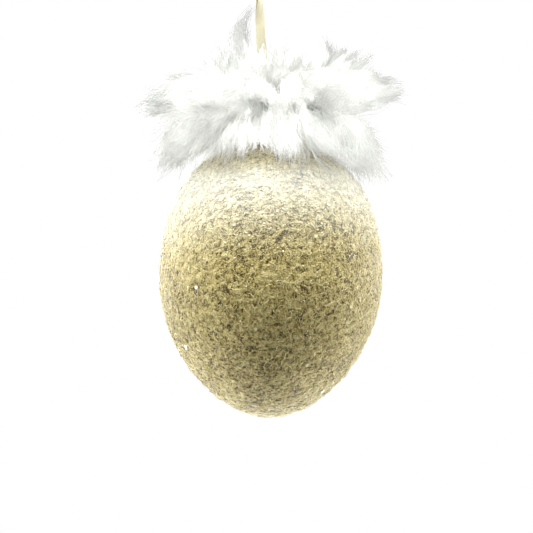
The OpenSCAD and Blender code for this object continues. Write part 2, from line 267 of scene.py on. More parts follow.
class Paint:
    """One procedural material, on a Principled shader."""

    def __init__(self, name, **fixed):
        self.material = bpy.data.materials.new(name)
        self.material.use_nodes = True
        self.tree = self.material.node_tree
        self.tree.nodes.clear()
        self.shader = self.tree.nodes.new("ShaderNodeBsdfPrincipled")
        out = self.tree.nodes.new("ShaderNodeOutputMaterial")
        self.tree.links.new(self.shader.outputs[0], out.inputs[0])
        for socket, value in fixed.items():
            self.shader.inputs[socket.replace("_", " ")].default_value = value

    def feed(self, socket, value):
        if isinstance(value, Wire):
            self.tree.links.new(value.socket, socket)
        elif value is not None:
            socket.default_value = value

    def node(self, kind, settings, *values, out=0, **named):
        """A new node: its settings first, then its inputs by order and by name."""
        made = self.tree.nodes.new(kind)
        for key, value in settings.items():
            setattr(made, key, value)
        for index, value in enumerate(values):
            self.feed(made.inputs[index], value)
        for key, value in named.items():
            self.feed(made.inputs[key.replace("_", " ")], value)
        return Wire(self, made.outputs[out])

    def place(self):
        return self.node("ShaderNodeTexCoord", {}, out="Object")

    def split(self, vector):
        """The three parts of a vector."""
        parts = self.tree.nodes.new("ShaderNodeSeparateXYZ")
        self.feed(parts.inputs[0], vector)
        return [Wire(self, part) for part in parts.outputs]

    def grain(self, size, detail=3.0, rough=0.55):
        return self.node("ShaderNodeTexNoise", {}, Vector=self.place(), Scale=1 / size, Detail=detail,
                         Roughness=rough)

    def cells(self, size):
        return self.node("ShaderNodeTexVoronoi", {"feature": "F1"}, Vector=self.place(), Scale=1 / size,
                         out="Distance")

    def blend(self, share, low, high, mode="MIX"):
        mix = self.tree.nodes.new("ShaderNodeMix")
        mix.data_type, mix.blend_type = "RGBA", mode
        for index, value in ((0, share), (6, low), (7, high)):
            value = (*value, 1) if isinstance(value, (tuple, list)) and len(value) == 3 else value
            self.feed(mix.inputs[index], value)
        return Wire(self, mix.outputs[2])

    def with_painted_light(self, colour):
        """The colour with painted light: paler and whiter towards the ball's top, darker olive below, and dulled
        again by painted shade under the collar.
        """
        height = self.split(self.place())[2]
        rise, shaded = (height.between(CENTRE.z + low, CENTRE.z + high) for low, high in (PAINTED_LIGHT_RISE, PAINTED_COLLAR_SHADE))
        share = rise * (1 - 0.6 * shaded)
        painted_light_tint = self.blend(share, (0.75, 0.72, 0.54), (0.98, 1.02, 1.20))
        toned = self.blend(1.0, colour, painted_light_tint, "MULTIPLY")
        return self.blend(share * (0.25 + 0.35 * share), toned, (0.70, 0.70, 0.64))

    def colour(self, value): self.feed(self.shader.inputs["Base Color"], value)
    def rough(self, value): self.feed(self.shader.inputs["Roughness"], value)

    def relief(self, height, distance):
        bump = self.node("ShaderNodeBump", {}, Strength=1.0, Distance=distance, Height=height)
        self.feed(self.shader.inputs["Normal"], bump)


# ---- Making pieces ----

def placed(name, data):
    """A new object in the scene."""
    made = bpy.data.objects.new(name, data)
    bpy.context.scene.collection.objects.link(made)
    return made


def new_piece(name, mesh, material, smooth=True):
    piece = placed(name, mesh)
    mesh.materials.clear()
    mesh.materials.append(material)
    mesh.polygons.foreach_set("use_smooth", [smooth] * len(mesh.polygons))
    return piece


def finished(shape, name):
    """Ends the work on a shape and gives it as a mesh."""
    mesh = bpy.data.meshes.new(name)
    shape.to_mesh(mesh)
    shape.free()
    return mesh


def repeated(name, pattern, places):
    """One mesh of many copies of a small pattern mesh, one at each 4x4 place."""
    points = np.empty(len(pattern.vertices) * 3)
    pattern.vertices.foreach_get("co", points)
    points = np.c_[points.reshape(-1, 3), np.ones(len(pattern.vertices))]
    pattern.calc_loop_triangles()
    corners = np.empty(len(pattern.loop_triangles) * 3, np.int32)
    pattern.loop_triangles.foreach_get("vertices", corners)
    places = np.asarray(places, float)
    moved = np.einsum("pij,vj->pvi", places, points)[:, :, :3].reshape(-1, 3)
    faces = (corners[None, :] + np.arange(len(places))[:, None] * len(points)).reshape(-1)
    mesh = bpy.data.meshes.new(name)
    mesh.vertices.add(len(moved))
    mesh.vertices.foreach_set("co", moved.astype(np.float32).reshape(-1))
    mesh.loops.add(len(faces))
    mesh.loops.foreach_set("vertex_index", faces.astype(np.int32))
    mesh.polygons.add(len(faces) // 3)
    mesh.polygons.foreach_set("loop_start", np.arange(0, len(faces), 3, dtype=np.int32))
    mesh.update(calc_edges=True)
    mesh.validate()
    return mesh


def pattern_mesh(name, build):
    shape = bmesh.new()
    build(shape)
    bmesh.ops.recalc_face_normals(shape, faces=shape.faces)
    return finished(shape, name)


def on_coat(angle, turn, lift=0.0):
    """The place on the coat, with its outward and its two level directions, in the ball's frame."""
    step = 0.002
    (r0, z0), (r1, z1) = outline(angle - step), outline(angle + step)
    r, z = outline(angle)
    across = Vector((-math.sin(turn), math.cos(turn), 0))
    up = Vector(((r1 - r0) * math.cos(turn), (r1 - r0) * math.sin(turn), z1 - z0)).normalized()
    out = across.cross(up).normalized()
    return Vector((r * math.cos(turn), r * math.sin(turn), z)) + out * lift, across, up, out


def spread_on_coat(rng, count):
    """Angles and turns spread evenly over the coat's area."""
    angles = np.linspace(-math.pi / 2 + 0.01, min(GRAIN_TOP, angle_at(COAT_HOLE)), 400)
    rings = np.array([outline(a) for a in angles])
    area = np.cumsum(rings[:, 0] * np.hypot(np.gradient(rings[:, 0]), np.gradient(rings[:, 1])))
    chosen = np.interp(rng.random(count) * area[-1], area, angles)
    return chosen, rng.random(count) * math.tau


def seats(rng, count, lump, lift=0.0):
    for angle, turn in zip(*spread_on_coat(rng, int(count * (1)))):
        relief = coat_relief(on_coat(angle, turn)[0]) * lump
        yield on_coat(angle, turn, relief + lift)


def coat_relief(point):
    """The felt's height at a place, from about -1 in a pit to +1 on a lump."""
    broad = noise.noise(point * 170)
    lump = noise.noise(point * 620 + Vector((7, 3, 1)))
    grit = noise.noise(point * 1150 + Vector((1, 9, 4)))
    return 0.16 * broad + 0.52 * lump + 0.52 * grit


def strip(name, route, wide, width, thickness, material, notched=False):
    """A flat woven strip that follows a route, with its width along wide at each point."""
    shape = bmesh.new()
    section = [(-0.5, -0.35), (-0.46, -0.5), (0, -0.42), (0.46, -0.5), (0.5, -0.35),
               (0.5, 0.35), (0.46, 0.5), (0, 0.42), (-0.46, 0.5), (-0.5, 0.35)]
    run = [0.0]
    for a, b in zip(route, route[1:]):
        run.append(run[-1] + (b - a).length)
    rings = []
    for i, point in enumerate(route):
        ahead = (route[min(i + 1, len(route) - 1)] - route[max(i - 1, 0)]).normalized()
        side = wide[i] - ahead * wide[i].dot(ahead)
        side.normalize()
        thick = ahead.cross(side).normalized()
        notch = 0.6 * width if notched and i == len(route) - 1 else 0.0
        rings.append([shape.verts.new(point + side * (u * width) + thick * (v * thickness)
                                      - ahead * (notch * (1 - abs(u) * 2)))
                      for u, v in section])
    weave = shape.loops.layers.uv.new("weave")
    for i in range(len(rings) - 1):
        for k in range(len(section)):
            m = (k + 1) % len(section)
            face = shape.faces.new((rings[i][k], rings[i][m], rings[i + 1][m], rings[i + 1][k]))
            for loop, (u, v) in zip(face.loops, ((section[k][0], run[i]), (section[m][0], run[i]),
                                                 (section[m][0], run[i + 1]), (section[k][0], run[i + 1]))):
                loop[weave].uv = (u * width / MM, v / MM)
    shape.faces.new(rings[0][::-1])
    shape.faces.new(rings[-1])
    bmesh.ops.recalc_face_normals(shape, faces=shape.faces)
    return new_piece(name, finished(shape, name), material)


def smooth_run(points, times):
    """A finer run of points along a smooth curve that goes through all of them."""
    rows = np.asarray(points, float)
    padded = np.vstack([2 * rows[0] - rows[1], rows, 2 * rows[-1] - rows[-2]])
    fine = []
    for i in range(len(rows) - 1):
        a, b, c, d = padded[i:i + 4]
        for t in np.arange(times) / times:
            fine.append(0.5 * (2 * b + (c - a) * t + (2 * a - 5 * b + 4 * c - d) * t ** 2
                               + (3 * b - a - 3 * c + d) * t ** 3))
    fine.append(rows[-1])
    return np.array(fine)


# ---- Finishes ----

def satin_finish(colour):
    paint = Paint("cream satin", Roughness=0.42, Sheen_Weight=0.35, Sheen_Roughness=0.4)
    where = paint.node("ShaderNodeUVMap", {"uv_map": "weave"})
    across, along = paint.split(where)[:2]
    weft = (along * 34.0).sine() * 0.5 + 0.5
    warp = (across * 52.0).sine() * 0.5 + 0.5
    edge = (across * across).between(1.9, 2.4)
    thread = weft * 0.6 + warp * 0.4 * (1 - edge)
    streak = paint.node("ShaderNodeTexNoise", {}, Vector=where, Scale=1.4, Detail=3.0)
    warm = tuple(c * share for c, share in zip(colour, (0.86, 0.84, 0.74)))
    paint.colour(paint.blend((thread * 0.35 + streak * 0.45 + edge * 0.15).clamp(), warm, tuple(colour)))
    paint.rough(0.36 + 0.18 * streak)
    paint.relief(thread + edge * 0.6, 0.00006)
    return paint.material


def felt_finish(s):
    paint = Paint("crushed glass felt", Roughness=0.75, Specular_IOR_Level=0.2, Sheen_Weight=0.8,
                  Sheen_Roughness=0.4, Sheen_Tint=(1, 1, 0.98, 1))
    height = paint.node("ShaderNodeAttribute", {"attribute_name": "relief"}, out="Fac")
    fine = paint.grain(0.0007, detail=4.0, rough=0.7)
    mottle = paint.grain(0.0017, detail=3.0, rough=0.6)
    patch = paint.grain(0.011, detail=2.0)
    grit = paint.cells(0.0007)
    hair = paint.node("ShaderNodeTexWave", {"wave_type": "BANDS", "bands_direction": "DIAGONAL"},
                      Vector=paint.place(), Scale=330.0, Distortion=22.0, Detail=3.0, Detail_Scale=2.2)
    level = (height * 0.30 + fine * 0.75 + (mottle - 0.5) * 0.75 + (patch - 0.5) * 0.3 + (0.5 - grit) * 0.3
             + hair * 0.18)
    low = paint.blend(level.between(0.22, 0.50), tuple(s.pit), tuple(s.body))
    # The felt's colour gets the painted top light and the painted shade under the collar
    paint.colour(paint.with_painted_light(paint.blend(level.between(0.46, 0.80), low, tuple(s.pale))))
    paint.rough(0.85 - 0.35 * level.between(0.5, 0.95))
    paint.relief(fine * 0.6 + (1 - grit) * 0.5 + hair * 0.25, 0.0003)
    return paint.material


def grit_finish(name, dark, pale, roughness, **fixed):
    paint = Paint(name, Roughness=roughness, **fixed)
    spot = paint.grain(0.0011, detail=2.0)
    patch = paint.grain(0.006, detail=2.0)
    share = (spot * 0.8 + patch * 0.6 - 0.2).between(0.3, 0.75)
    # The grit's colour gets the painted top light and the painted shade under the collar
    paint.colour(paint.with_painted_light(paint.blend(share, tuple(dark), tuple(pale))))
    paint.rough(roughness + 0.2 * (spot - 0.5))
    return paint.material


def down_finish(root):
    """White down, painted grey towards the barbs' tips as painted shade, by the share in its attribute."""
    paint = Paint("white down", Roughness=0.5, Sheen_Weight=0.25, Sheen_Roughness=0.4)
    tone = paint.grain(0.005, detail=2.0)
    painted_shade = paint.node("ShaderNodeAttribute", {"attribute_name": "painted_shade"}, out="Fac")
    made = paint.blend(tone.between(0.3, 0.7), tuple(c * 0.9 for c in root), tuple(root))
    paint.colour(paint.blend(painted_shade, made, tuple(c * 0.28 for c in root)))
    return paint.material


def sheet_metal(name, dark, pale, roughness):
    paint = Paint(name, Metallic=1.0, Roughness=roughness)
    rub = paint.grain(0.0012, detail=4.0)
    broad = paint.grain(0.007, detail=2.0)
    paint.colour(paint.blend((rub * 0.5 + broad * 0.6).between(0.35, 0.75), shade(*dark), shade(*pale)))
    paint.rough(roughness + 0.25 * (rub - 0.5))
    paint.relief(rub, 0.00004)
    return paint.material


def twisted_finish():
    """Cotton cord whose plies wind round it as it goes round the neck."""
    paint = Paint("twisted cotton", Roughness=0.8, Sheen_Weight=0.3)
    local = paint.node("ShaderNodeMapping", {"vector_type": "TEXTURE"}, paint.place(),
                       tuple(HUNG.translation), (0, LEAN, 0))
    x, y, z = paint.split(local)
    turn = x.maths("ARCTAN2", y, x)
    radius = (x * x + y * y) ** 0.5
    round_it = x.maths("ARCTAN2", z - CORD_Z, radius - CORD_RING)
    ply = (turn * 26.0 + round_it * 3.0).sine() * 0.5 + 0.5
    fuzz = paint.grain(0.0005, detail=3.0)
    paint.colour(paint.blend((ply * 0.7 + fuzz * 0.4).clamp(), shade(206, 198, 178), shade(244, 240, 228)))
    paint.relief(ply + fuzz * 0.25, 0.0004)
    return paint.material


def clear_finish(name, colour, roughness):
    paint = Paint(name, Roughness=roughness, Transmission_Weight=1.0, IOR=1.5)
    ripple = paint.grain(0.009, detail=2.0)
    paint.colour(paint.blend(ripple, tuple(c * 0.94 for c in shade(*colour)), shade(*colour)))
    paint.rough(roughness + 0.05 * ripple)
    paint.relief(ripple, 0.0001)
    return paint.material


# ---- Stage ----

def in_view(across, up, depth=0.0):
    """A place given by how far right, up and towards the viewer it is from the ball's centre."""
    return CENTRE + RIGHT * across + UP * up + NEARER * depth


def soft_light(name, place, target, width, height, watts):
    lamp = bpy.data.lights.new(name, "AREA")
    lamp.shape, lamp.size, lamp.size_y, lamp.energy = "RECTANGLE", width, height, watts
    lit = placed(name, lamp)
    lit.location = place
    lit.rotation_euler = (target - place).to_track_quat("-Z", "Y").to_euler()


class ORNAMENT_OT_stage(bpy.types.Operator):
    """Camera, soft lights, white surround and the pale floor"""
    bl_idname = "ornament.stage"
    bl_label = "Stage"

    def execute(self, context):
        s = context.scene.ornament_light
        eye = bpy.data.cameras.new("camera")
        camera = placed("camera", eye)
        eye.sensor_width, eye.clip_start = SENSOR, 0.01
        eye.lens = SENSOR * VIEW_DISTANCE / VIEW_WIDTH
        turned = Matrix((RIGHT, UP, NEARER)).transposed().to_4x4()
        camera.matrix_world = Matrix.Translation(in_view(-1.48 * MM, 3.6 * MM, VIEW_DISTANCE)) @ turned
        context.scene.camera = camera

        world = bpy.data.worlds.new("white surround")
        context.scene.world = world
        world.use_nodes = True
        nodes, links = world.node_tree.nodes, world.node_tree.links
        nodes.clear()
        out, ray, mix = (nodes.new("ShaderNode" + kind) for kind in ("OutputWorld", "LightPath", "MixShader"))
        for slot, strength in ((1, s.surround), (2, 1.0)):
            white = nodes.new("ShaderNodeBackground")
            white.inputs[0].default_value = (1, 1, 1, 1)
            white.inputs[1].default_value = strength
            links.new(white.outputs[0], mix.inputs[slot])
        links.new(ray.outputs["Is Camera Ray"], mix.inputs[0])
        links.new(mix.outputs[0], out.inputs[0])

        aim = CENTRE + Vector((0, 0, 0.012))
        soft_light("front light", aim + Vector((0, -0.50, 1.80)), aim, 1.5, 1.05, s.front)
        for side, watts in ((-1, s.left), (1, s.right)):
            soft_light("side light", aim + Vector((side * 1.35, -0.30, 0.15)), aim, 1.05, 1.5, watts)
            soft_light("rim light", aim + Vector((side * 1.20, 0.30, -0.66)), aim, 1.05, 0.9, s.rims)
            soft_light("back light", aim + Vector((side * 0.84, 1.02, -0.66)), aim, 1.05, 0.9, s.back)
        context.scene.view_settings.view_transform = "Standard"

        shape = bmesh.new()
        bmesh.ops.create_circle(shape, cap_ends=True, segments=96, radius=0.45,
                                matrix=Matrix.Translation((0, 0, CENTRE.z - FLOOR_DROP)))
        paint = Paint("pale floor", Roughness=0.8)
        paint.colour(paint.blend(paint.grain(0.08), (0.86, 0.86, 0.86), (0.90, 0.90, 0.90)))
        new_piece("floor", finished(shape, "floor"), paint.material, smooth=False)
        return {"FINISHED"}


# ---- Ribbon ----

class ORNAMENT_OT_ribbon(bpy.types.Operator):
    """The cream ribbon that the ball hangs from, as one flat loop"""
    bl_idname = "ornament.ribbon"
    bl_label = "Ribbon"

    def execute(self, context):
        s = context.scene.ornament_ribbon
        rows = smooth_run(RIBBON_ROUTE, 5)
        route = [Vector(row[:3]) * MM for row in rows]
        wide = [Vector((math.cos(math.radians(t)), math.sin(math.radians(t)), 0)) for t in rows[:, 3]]
        ribbon = strip("ribbon", route, wide, s.width, s.thickness, satin_finish(s.satin))
        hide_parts("ribbon_upper", "ribbon_lower")
        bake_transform(ribbon)
        whole = sum((b - a).length for a, b in zip(route, route[1:]))
        tuple(route[0])
        [tuple(p) for p in route]
        return {"FINISHED"}


class ORNAMENT_OT_knot(bpy.types.Operator):
    """The ribbon's knot above the wire's eye, its small loop and its two cut tails"""
    bl_idname = "ornament.knot"
    bl_label = "Ribbon knot"

    def execute(self, context):
        s = context.scene.ornament_ribbon
        satin = satin_finish(s.satin)
        ring, neck = 0.88 * MM, (0.35 * MM, EYE_Z + 2.2 * MM)
        turns = [math.radians(-235 + i * 290 / 32) for i in range(33)]
        loop = [Vector((0, ring * math.cos(a), EYE_Z + ring * math.sin(a))) for a in turns]
        loop = [Vector((0, -neck[0], neck[1])), *loop, Vector((0, *neck))]
        made = [strip("loop", loop, [Vector((1, 0, 0))] * len(loop), s.width, s.thickness, satin)]
        middle = Vector(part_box("ribbon_knot")[1]).z - 1.8 * MM
        for tilt, lift in ((0.42, 0.25), (-0.38, -0.3)):
            band, wide = [], []
            for i in range(41):
                a = math.tau * i / 40
                band.append(Vector((1.95 * MM * math.cos(a), 1.15 * MM * math.sin(a),
                                    middle + lift * MM + tilt * MM * 1.9 * math.cos(a))))
                wide.append(Vector((-tilt * 0.6 * math.cos(a), 0, 1)))
            made.append(strip("wrap", band, wide, 2.0 * MM, s.thickness * 0.9, satin))
        for side in (-1, 1):
            tail, wide = [], []
            for i in range(15):
                t = i / 14
                tail.append(Vector((side * (1.1 + 4.4 * t) * MM, (-0.1 - 0.5 * t * side) * MM,
                                    middle + (0.2 - 0.4 * t - 1.5 * t * t) * MM)))
                wide.append(Vector((0.1 * side, math.sin(0.5 * t * side), 1.0)))
            made.append(strip("tail", tail, wide, s.width * 0.8, s.thickness, satin, notched=True))
        shape = bmesh.new()
        for part in made:
            shape.from_mesh(part.data)
            bpy.data.objects.remove(part)
        knot = new_piece("ribbon_knot_piece", finished(shape, "ribbon_knot_piece"), satin)
        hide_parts("ribbon_knot")
        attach(knot, "lower_ribbon")
        return {"FINISHED"}


# ---- Coat ----

class ORNAMENT_OT_coat(bpy.types.Operator):
    """The felted skin of glass grains and fibres over the whole ball"""
    bl_idname = "ornament.coat"
    bl_label = "Coat"

    def execute(self, context):
        s = context.scene.ornament_coat
        steps, outer, inner = ((320, 262, 24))
        low, top = -math.pi / 2, angle_at(COAT_HOLE)
        profile = [outline(low + (top - low) * i / outer) for i in range(outer + 1)]
        profile[0] = (0.0, profile[0][1])
        back = [outline(low + (top - low) * i / inner, COAT) for i in range(inner, -1, -1)]
        back[-1] = (0.0, back[-1][1])
        shape = bmesh.new()
        verts = [shape.verts.new((r, 0, z)) for r, z in profile + back]
        edges = [shape.edges.new(pair) for pair in zip(verts, verts[1:])]
        bmesh.ops.spin(shape, geom=verts + edges, cent=(0, 0, 0), axis=(0, 0, 1), dvec=(0, 0, 0),
                       angle=math.tau, steps=steps, use_merge=True)
        bmesh.ops.remove_doubles(shape, verts=shape.verts, dist=0.000004)
        bmesh.ops.recalc_face_normals(shape, faces=shape.faces)
        if shape.calc_volume(signed=True) < 0:
            bmesh.ops.reverse_faces(shape, faces=shape.faces)
        height = shape.verts.layers.float.new("relief")
        for vert in shape.verts:
            x, y, z = vert.co
            value = coat_relief(vert.co)
            vert[height] = value
            sine = z / (BALL_RISE if z > 0 else BALL_DROP)
            inside = outline(math.asin(max(-1, min(1, sine))))[0] - math.hypot(x, y) > COAT / 2
            on_rim = z > outline(top)[1] - RIM_MARGIN
            by_pole = math.hypot(x, y) < POLE_R and z > COAT / 2 - BALL_DROP
            if not (inside or on_rim or by_pole):
                vert.co += Vector((x / BALL_R, y / BALL_R, z / BALL_RISE)).normalized() * (value * s.lump)
        shape.transform(HUNG)
        coat = new_piece("felted_coat", finished(shape, "felted_coat"), felt_finish(s))
        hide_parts("glitter_coat")
        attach(coat, "ball")
        return {"FINISHED"}


def chip(rng):
    """A cornered grain of crushed glass."""
    def build(shape):
        bmesh.ops.create_icosphere(shape, subdivisions=1, radius=0.5)
        for vert in shape.verts:
            vert.co *= 0.72 + 0.56 * rng.random()
    return build


def curl(rng):
    """A short bent fibre, three-sided."""
    bend, rise = 0.6 + 1.6 * rng.random(), 0.2 + 0.5 * rng.random()

    def build(shape):
        bmesh.ops.create_circle(shape, cap_ends=True, segments=3, radius=1.0)
        face = list(shape.faces)[0]
        last = Vector((0, 0, 0))
        for i in range(1, 6):
            t = i / 5
            goal = Vector((math.sin(bend * t) / bend, (1 - math.cos(bend * t)) / bend,
                           rise * 0.12 * math.sin(math.pi * t)))
            grown = bmesh.ops.extrude_face_region(shape, geom=[face])["geom"]
            moved = [g for g in grown if isinstance(g, bmesh.types.BMVert)]
            bmesh.ops.delete(shape, geom=[face], context="FACES_ONLY")
            face = [g for g in grown if isinstance(g, bmesh.types.BMFace)][0]
            bmesh.ops.translate(shape, verts=moved, vec=Vector((goal.y - last.y, 0, goal.x - last.x)) * CURL_LENGTH
                                + Vector((0, (goal.z - last.z) * CURL_LENGTH, 0)))
            last = goal
    return build


class ORNAMENT_OT_grains(bpy.types.Operator):
    """Crushed glass grains, bright and dull, stuck all over the coat"""
    bl_idname = "ornament.grains"
    bl_label = "Grains"

    def execute(self, context):
        s = context.scene.ornament_coat
        rng = np.random.default_rng(11)
        kinds = (
            ("pale_grains", 0.52, grit_finish("pale grit", s.body, s.pale, 0.5, Sheen_Weight=0.8), 1.0),
            ("dark_grains", 0.43, grit_finish("olive grit", s.pit, s.body, 0.7, Specular_IOR_Level=0.15), 0.9),
            ("bright_grains", 0.05, grit_finish("bright glass chips", s.pale, shade(255, 253, 240), 0.12,
                                                Specular_IOR_Level=0.9, Coat_Weight=0.7, Coat_Roughness=0.05), 1.0),
        )
        for name, share, finish, size in kinds:
            places = []
            for point, across, up, out in seats(rng, s.grains * share, s.lump):
                width = s.grain_size * size * (0.55 + 0.75 * rng.random())
                twist = rng.random() * math.tau
                side = across * math.cos(twist) + up * math.sin(twist)
                other = out.cross(side)
                scale = (width * (0.8 + 0.6 * rng.random()), width * 0.8, width * 0.55)
                m = Matrix((side * scale[0], other * scale[1], out * scale[2])).transposed().to_4x4()
                places.append(np.array(HUNG @ Matrix.Translation(point + out * width * 0.08) @ m))
            third = max(1, len(places) // 3)
            shape = bmesh.new()
            for k in range(3):
                part = places[k * third:(k + 1) * third]
                if part:
                    shape.from_mesh(repeated(name, pattern_mesh("chip", chip(rng)), part))
            piece = new_piece(name, finished(shape, name), finish, smooth=False)
            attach(piece, "ball")
        return {"FINISHED"}


class ORNAMENT_OT_fibres(bpy.types.Operator):
    """Short pale fibres matted into the coat, and a few long stray ones"""
    bl_idname = "ornament.fibres"
    bl_label = "Fibres"

    def execute(self, context):
        s = context.scene.ornament_coat
        rng = np.random.default_rng(23)
        finish = grit_finish("felt fibre", s.pale, shade(255, 252, 232), 0.65)
        shape = bmesh.new()
        for _ in range(5):
            pattern = pattern_mesh("curl", curl(rng))
            places, slims = [], []
            for point, across, up, out in seats(rng, s.fibres / 5, s.lump, 0.12 * MM):
                twist = rng.random() * math.tau
                side = across * math.cos(twist) + up * math.sin(twist)
                thick = (0.045 + 0.035 * rng.random()) * MM
                run = (1.6 + 2.6 * rng.random()) * MM / CURL_LENGTH
                m = Matrix((side.cross(out) * run, out * run, side * run)).transposed().to_4x4()
                places.append(np.array(HUNG @ Matrix.Translation(point) @ m))
                slims.append(thick / run)
            if not places:
                continue
            slim = float(np.mean(slims))
            for first in range(0, len(pattern.vertices), 3):
                ring = pattern.vertices[first:first + 3]
                middle = sum((vert.co for vert in ring), Vector()) / 3
                for vert in ring:
                    vert.co = middle + (vert.co - middle) * slim
            shape.from_mesh(repeated("curls", pattern, places))
        piece = new_piece("felt_fibres", finished(shape, "felt_fibres"), finish)
        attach(piece, "ball")

        stray = ((9.7, 16.9), (7.6, 13.2), (4.9, 9.1), (3.6, 5.2), (2.8, 1.2), (1.2, -2.8), (-1, -6.7),
                 (-2.5, -12), (-1.7, -17))
        lines = [[drop_on_coat(u * MM, v * MM, 0.45 * MM) for u, v in stray]]
        for _ in range(26):
            u, v = rng.uniform(-26, 26), rng.uniform(-34, 34)
            heading, line = rng.random() * math.tau, []
            for _ in range(9):
                if math.hypot(u / 34, v / 42) < 0.95:
                    line.append(drop_on_coat(u * MM, v * MM, 0.4 * MM))
                heading += rng.normal() * 0.35
                u += math.cos(heading)
                v += math.sin(heading)
            if len(line) > 4:
                lines.append(line)
        strands = hair_piece("stray_fibres", [smooth_run([tuple(p) for p in line], 3) for line in lines],
                             0.07 * MM, 0.04 * MM, finish)
        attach(strands, "ball")
        return {"FINISHED"}


def drop_on_coat(across, up, lift):
    """The place on the coat's front that lies so far right and up of its centre in the view."""
    ray = HUNG.inverted() @ in_view(across, up, 0.06)
    step = (HUNG.inverted().to_3x3() @ Vector((0, 1, 0))).normalized() * 0.0002
    for _ in range(600):
        ray = ray + step
        rise = BALL_RISE if ray.z > 0 else BALL_DROP
        if abs(ray.z) < rise and math.hypot(ray.x, ray.y) <= outline(math.asin(ray.z / rise))[0]:
            break
    normal = Vector((ray.x, ray.y, ray.z * 0.6)).normalized()
    return HUNG @ (ray + normal * lift)


def hair_piece(name, lines, root_d, tip_d, finish, painted_tip_shade=None):
    """Many fine three-sided hairs as one mesh, each tapering along its run of points; painted tip shade, if given,
    goes on them as an attribute.
    """
    curve = bpy.data.curves.new(name, "CURVE")
    curve.dimensions = "3D"
    for line in lines:
        line = np.asarray(line, float)
        spline = curve.splines.new("POLY")
        spline.points.add(len(line) - 1)
        spline.points.foreach_set("co", np.c_[line, np.ones(len(line))].astype(np.float32).reshape(-1))
        spline.points.foreach_set("radius", np.linspace(1, tip_d / root_d, len(line)).astype(np.float32))
    section = bpy.data.curves.new("hair section", "CURVE")
    ring = section.splines.new("POLY")
    ring.points.add(2)
    for k in range(3):
        a = -math.tau * k / 3
        ring.points[k].co = (root_d / 2 * math.cos(a), root_d / 2 * math.sin(a), 0, 1)
    ring.use_cyclic_u = True
    section_piece = placed("hair section", section)
    curve.bevel_mode, curve.bevel_object, curve.use_fill_caps = "OBJECT", section_piece, True
    holder = placed(name + " curve", curve)
    seen = bpy.context.evaluated_depsgraph_get()
    mesh = bpy.data.meshes.new_from_object(holder.evaluated_get(seen))
    bpy.data.objects.remove(holder)
    bpy.data.objects.remove(section_piece)
    if painted_tip_shade is not None:
        # The painted shade goes on each corner of the hairs: the end caps come first, from the last hair to the
        # first, and then the rings in order
        caps = np.stack([painted_tip_shade[::-1, -1], painted_tip_shade[::-1, 0]], 1).reshape(-1)
        lit = np.repeat(np.concatenate([caps, painted_tip_shade.reshape(-1)]).astype(np.float32), 3)
        if len(lit) != len(mesh.vertices):
            raise RuntimeError("%s has %d corners for %d tip_shade_share values" % (name, len(mesh.vertices), len(lit)))
        mesh.attributes.new("painted_shade", "FLOAT", "POINT").data.foreach_set("value", lit)
    shape = bmesh.new()
    shape.from_mesh(mesh)
    bmesh.ops.remove_doubles(shape, verts=shape.verts, dist=0.000001)
    if any(len(edge.link_faces) != 2 for edge in shape.edges):
        raise RuntimeError(name + " has a hair that isn't closed")
    if shape.calc_volume(signed=True) < 0:
        bmesh.ops.reverse_faces(shape, faces=shape.faces)
    shape.to_mesh(mesh)
    shape.free()
    mesh.name = name
    return new_piece(name, mesh, finish)


class ORNAMENT_OT_flakes(bpy.types.Operator):
    """The larger pale flakes that lie on the coat"""
    bl_idname = "ornament.flakes"
    bl_label = "Flakes"

    def execute(self, context):
        s = context.scene.ornament_coat
        rng = np.random.default_rng(5)

        def build(shape):
            bmesh.ops.create_circle(shape, cap_ends=True, segments=7, radius=0.5)
            for vert in shape.verts:
                vert.co *= 0.7 + 0.5 * rng.random()
            grown = bmesh.ops.extrude_face_region(shape, geom=list(shape.faces))["geom"]
            lifted = [g for g in grown if isinstance(g, bmesh.types.BMVert)]
            bmesh.ops.translate(shape, verts=lifted, vec=(0, 0, 0.12))
        finish = grit_finish("pale flakes", s.pale, shade(252, 248, 226), 0.25, Coat_Weight=0.5, Coat_Roughness=0.1)
        places = []
        for i in range(FLAKES):
            a = math.radians(-70 + 115 * (i + 0.5) / FLAKES)
            t = math.radians(137.508 * i)
            point, across, up, out = on_coat(a, t, 0.18 * MM)
            wide = (1.1 + 0.7 * rng.random()) * MM
            m = Matrix((across * wide, up * wide, out * wide)).transposed().to_4x4()
            tip = Matrix.Rotation(rng.normal() * 0.2, 4, "X") @ Matrix.Rotation(rng.random() * math.tau, 4, "Z")
            places.append(np.array(HUNG @ Matrix.Translation(point) @ m @ tip))
        piece = new_piece("coat_flake_chips", repeated("coat_flake_chips", pattern_mesh("flake", build), places),
                          finish, smooth=False)
        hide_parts("coat_flakes")
        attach(piece, "ball")
        return {"FINISHED"}


# ---- Collar ----

def arch(root, lift, tip, s):
    s = np.asarray(s, float)[..., None]
    return root * (1 - s) ** 2 + lift * 2 * s * (1 - s) + tip * s ** 2


def swirl(points, phase, size, reach):
    """A smooth wandering push at each point, so that near barbs go together."""
    k = math.tau / size
    x, y, z = points[..., 0], points[..., 1], points[..., 2]
    return reach * np.stack([
        np.sin(k * (0.9 * y + 0.7 * z) + phase) + 0.6 * np.sin(k * (1.7 * z - 0.8 * y) + 2.1 * phase),
        np.sin(k * (0.8 * z + 0.9 * x) + 1.7 * phase) + 0.6 * np.sin(k * (1.6 * x - 0.9 * z) + 0.6 * phase),
        np.sin(k * (0.9 * x + 0.8 * y) + 2.9 * phase) + 0.6 * np.sin(k * (1.8 * y - 0.7 * x) + 1.3 * phase),
    ], axis=-1)


